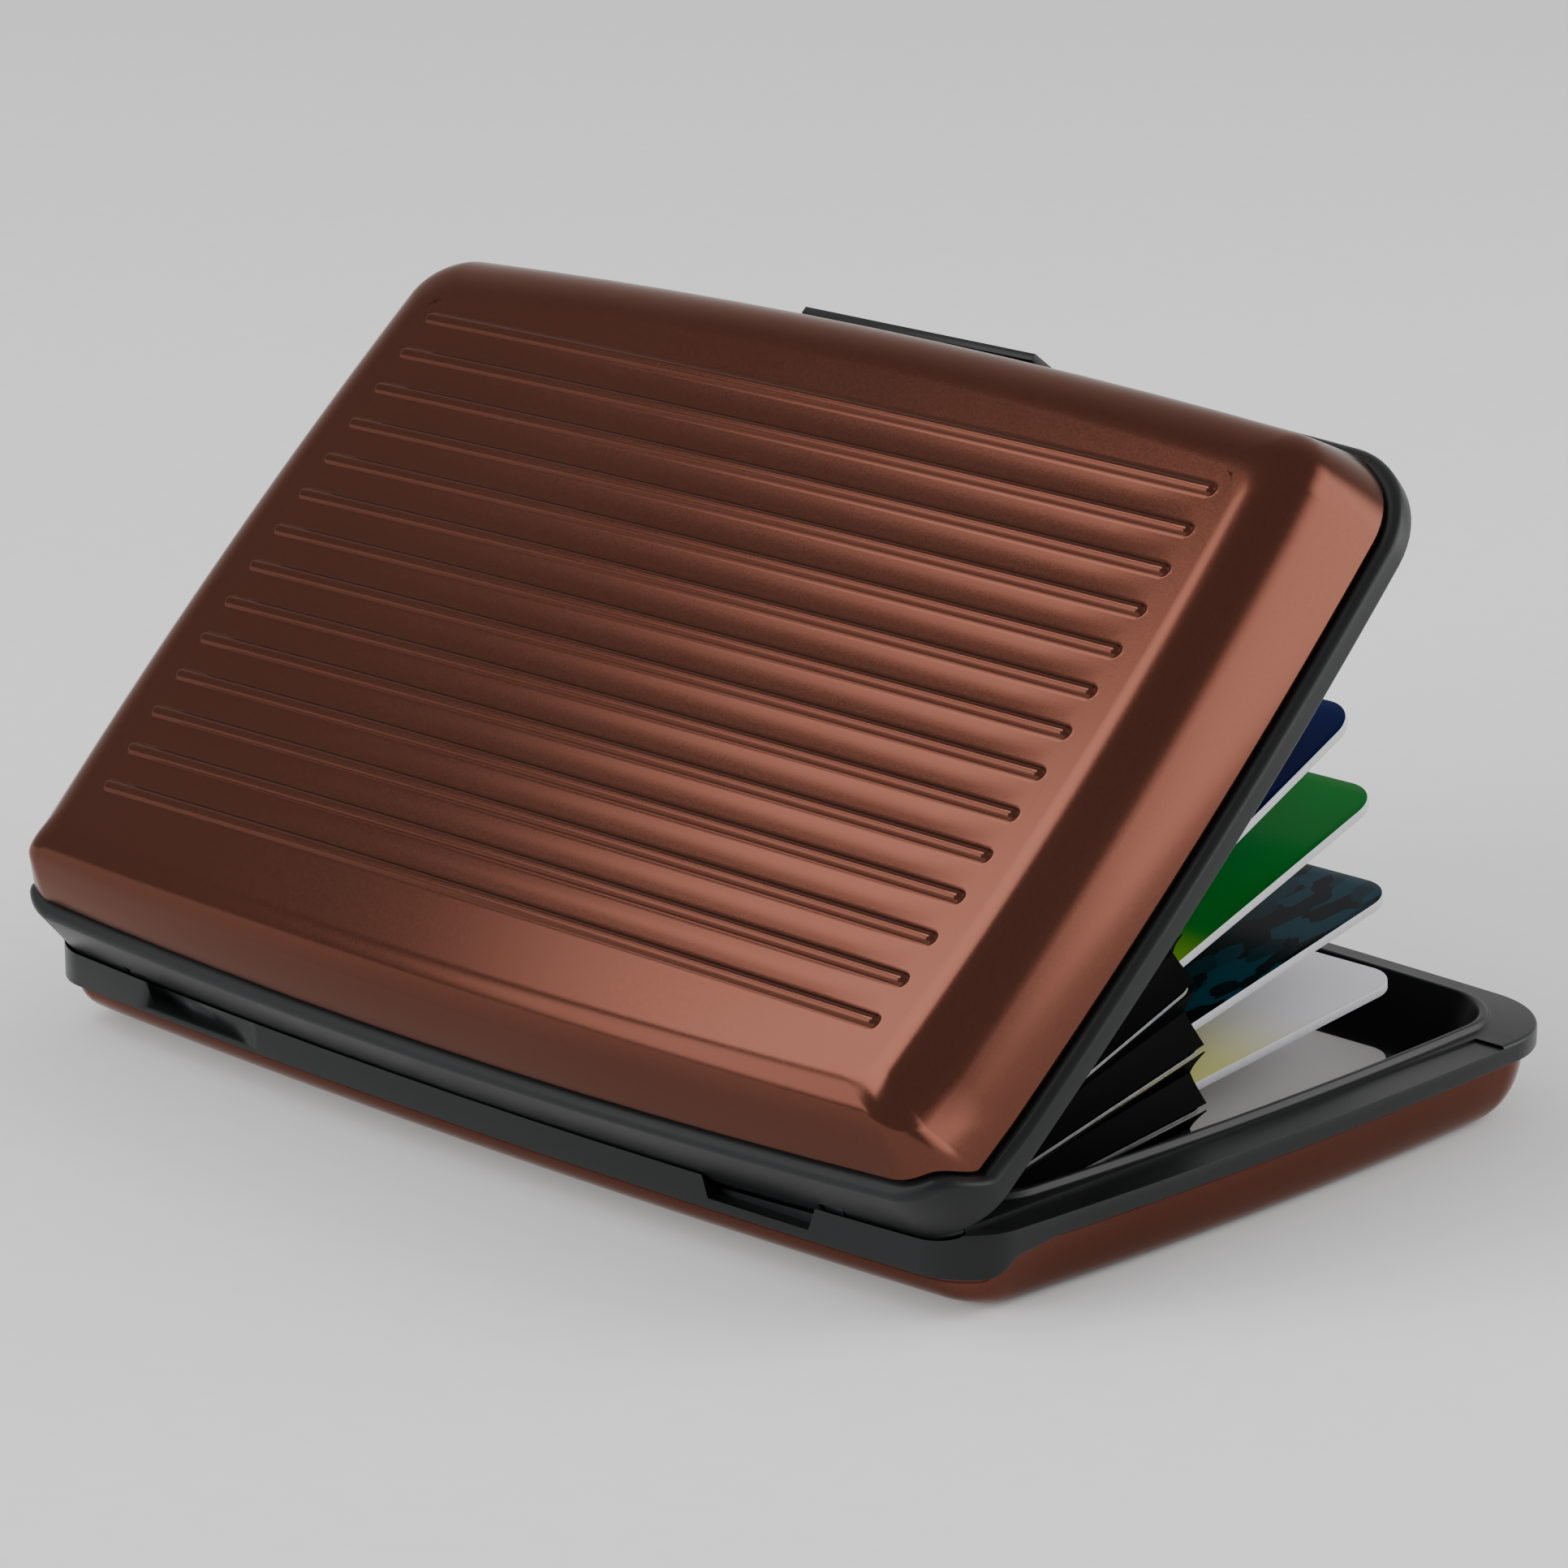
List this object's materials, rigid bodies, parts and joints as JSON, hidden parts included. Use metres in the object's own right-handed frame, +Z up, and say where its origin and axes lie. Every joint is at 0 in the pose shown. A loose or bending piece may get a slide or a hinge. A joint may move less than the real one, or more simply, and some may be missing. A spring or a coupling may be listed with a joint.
{
  "type": "card wallet",
  "caption": "Hinged card case: ribbed anodised aluminium skins on black plastic frames, a clasp, and an accordion of leaves that fans out the cards.",
  "frame": {"origin": "middle of the underside, on the crown of the base skin's middle rib", "axes": "+X along the hinge, +Y from the hinge to the clasp, +Z up"},
  "size_m": [0.11, 0.0794, 0.0623],
  "materials": {
    "anodised_skin": "glossy brown anodised",
    "black_plastic": "satin",
    "leaf_film": "smooth film",
    "pin_steel": "drawn wire",
    "card_grey": "laminated",
    "card_white": "laminated",
    "card_teal": "laminated",
    "card_green": "laminated",
    "card_navy": "laminated"
  },
  "bodies": {
    "base": {"lower_shell": "anodised_skin", "lower_frame": "black_plastic", "hinge_pin_left": "pin_steel", "hinge_pin_right": "pin_steel"},
    "lid": {"upper_shell": "anodised_skin", "upper_frame": "black_plastic", "latch_pin": "pin_steel"},
    "clasp": {"latch_clasp": "black_plastic"},
    "leaf_0_body": {"leaf_0": "leaf_film"},
    "leaf_1_body": {"leaf_1": "leaf_film", "gusset_1": "leaf_film"},
    "leaf_2_body": {"leaf_2": "leaf_film", "gusset_2": "leaf_film"},
    "leaf_3_body": {"leaf_3": "leaf_film", "gusset_3": "leaf_film"},
    "leaf_4_body": {"leaf_4": "leaf_film", "gusset_4": "leaf_film"},
    "leaf_5_body": {"leaf_5": "leaf_film", "gusset_5": "leaf_film"},
    "leaf_6_body": {"leaf_6": "leaf_film", "gusset_6": "leaf_film"},
    "leaf_7_body": {"leaf_7": "leaf_film", "gusset_7": "leaf_film"},
    "card_1_body": {"card_1": "card_grey"},
    "card_2_body": {"card_2": "card_white"},
    "card_3_body": {"card_3": "card_teal"},
    "card_4_body": {"card_4": "card_green"},
    "card_5_body": {"card_5": "card_navy"}
  },
  "joints": [
    {"name": "lid_hinge", "type": "hinge", "parent": "base", "child": "lid", "pos_m": [0, -0.03474, 0.00774], "axis": [1, 0, 0], "range_deg": [-42.25, 5]},
    {"name": "clasp_pivot", "type": "hinge", "parent": "lid", "child": "clasp", "pos_m": [0, 0.01731, 0.05699], "axis": [1, 0, 0], "range_deg": [-7, 5]},
    {"name": "leaf_0_fold", "type": "hinge", "parent": "base", "child": "leaf_0_body", "pos_m": [0, -0.03474, 0.00774], "axis": [1, 0, 0], "range_deg": [-1, 0.12]},
    {"name": "leaf_1_fold", "type": "hinge", "parent": "leaf_0_body", "child": "leaf_1_body", "pos_m": [0, -0.03474, 0.00774], "axis": [1, 0, 0], "range_deg": [-5.1, 0.61], "deforming": ["gusset_1"]},
    {"name": "leaf_2_fold", "type": "hinge", "parent": "leaf_1_body", "child": "leaf_2_body", "pos_m": [0, -0.03474, 0.00774], "axis": [1, 0, 0], "range_deg": [-6, 0.71], "deforming": ["gusset_2"]},
    {"name": "leaf_3_fold", "type": "hinge", "parent": "leaf_2_body", "child": "leaf_3_body", "pos_m": [0, -0.03474, 0.00774], "axis": [1, 0, 0], "range_deg": [-7.1, 0.84], "deforming": ["gusset_3"]},
    {"name": "leaf_4_fold", "type": "hinge", "parent": "leaf_3_body", "child": "leaf_4_body", "pos_m": [0, -0.03474, 0.00774], "axis": [1, 0, 0], "range_deg": [-6.3, 0.75], "deforming": ["gusset_4"]},
    {"name": "leaf_5_fold", "type": "hinge", "parent": "leaf_4_body", "child": "leaf_5_body", "pos_m": [0, -0.03474, 0.00774], "axis": [1, 0, 0], "range_deg": [-5.6, 0.66], "deforming": ["gusset_5"]},
    {"name": "leaf_6_fold", "type": "hinge", "parent": "leaf_5_body", "child": "leaf_6_body", "pos_m": [0, -0.03474, 0.00774], "axis": [1, 0, 0], "range_deg": [-5.6, 0.66], "deforming": ["gusset_6"]},
    {"name": "leaf_7_fold", "type": "hinge", "parent": "leaf_6_body", "child": "leaf_7_body", "pos_m": [0, -0.03474, 0.00774], "axis": [1, 0, 0], "range_deg": [-5.55, 0.66], "deforming": ["gusset_7"]},
    {"name": "card_1_lift", "type": "hinge", "parent": "leaf_0_body", "child": "card_1_body", "pos_m": [0, -0.02664, 0.00214], "axis": [1, 0, 0], "range_deg": [0, 3]},
    {"name": "card_2_slide", "type": "slide", "parent": "leaf_1_body", "child": "card_2_body", "axis": [0, 0.9943, 0.1063], "range_m": [0, 0.03]},
    {"name": "card_3_slide", "type": "slide", "parent": "leaf_2_body", "child": "card_3_body", "axis": [0, 0.9778, 0.2096], "range_m": [0, 0.03]},
    {"name": "card_4_slide", "type": "slide", "parent": "leaf_3_body", "child": "card_4_body", "axis": [0, 0.9444, 0.3289], "range_m": [0, 0.03]},
    {"name": "card_5_slide", "type": "slide", "parent": "leaf_4_body", "child": "card_5_body", "axis": [0, 0.9026, 0.4305], "range_m": [0, 0.03]}
  ],
  "couplings": [
    {"joint": "leaf_0_fold", "follows": "lid_hinge", "ratio": 0.023669},
    {"joint": "leaf_1_fold", "follows": "lid_hinge", "ratio": 0.12071},
    {"joint": "leaf_2_fold", "follows": "lid_hinge", "ratio": 0.14201},
    {"joint": "leaf_3_fold", "follows": "lid_hinge", "ratio": 0.16805},
    {"joint": "leaf_4_fold", "follows": "lid_hinge", "ratio": 0.14911},
    {"joint": "leaf_5_fold", "follows": "lid_hinge", "ratio": 0.13254},
    {"joint": "leaf_6_fold", "follows": "lid_hinge", "ratio": 0.13254},
    {"joint": "leaf_7_fold", "follows": "lid_hinge", "ratio": 0.13136}
  ]
}
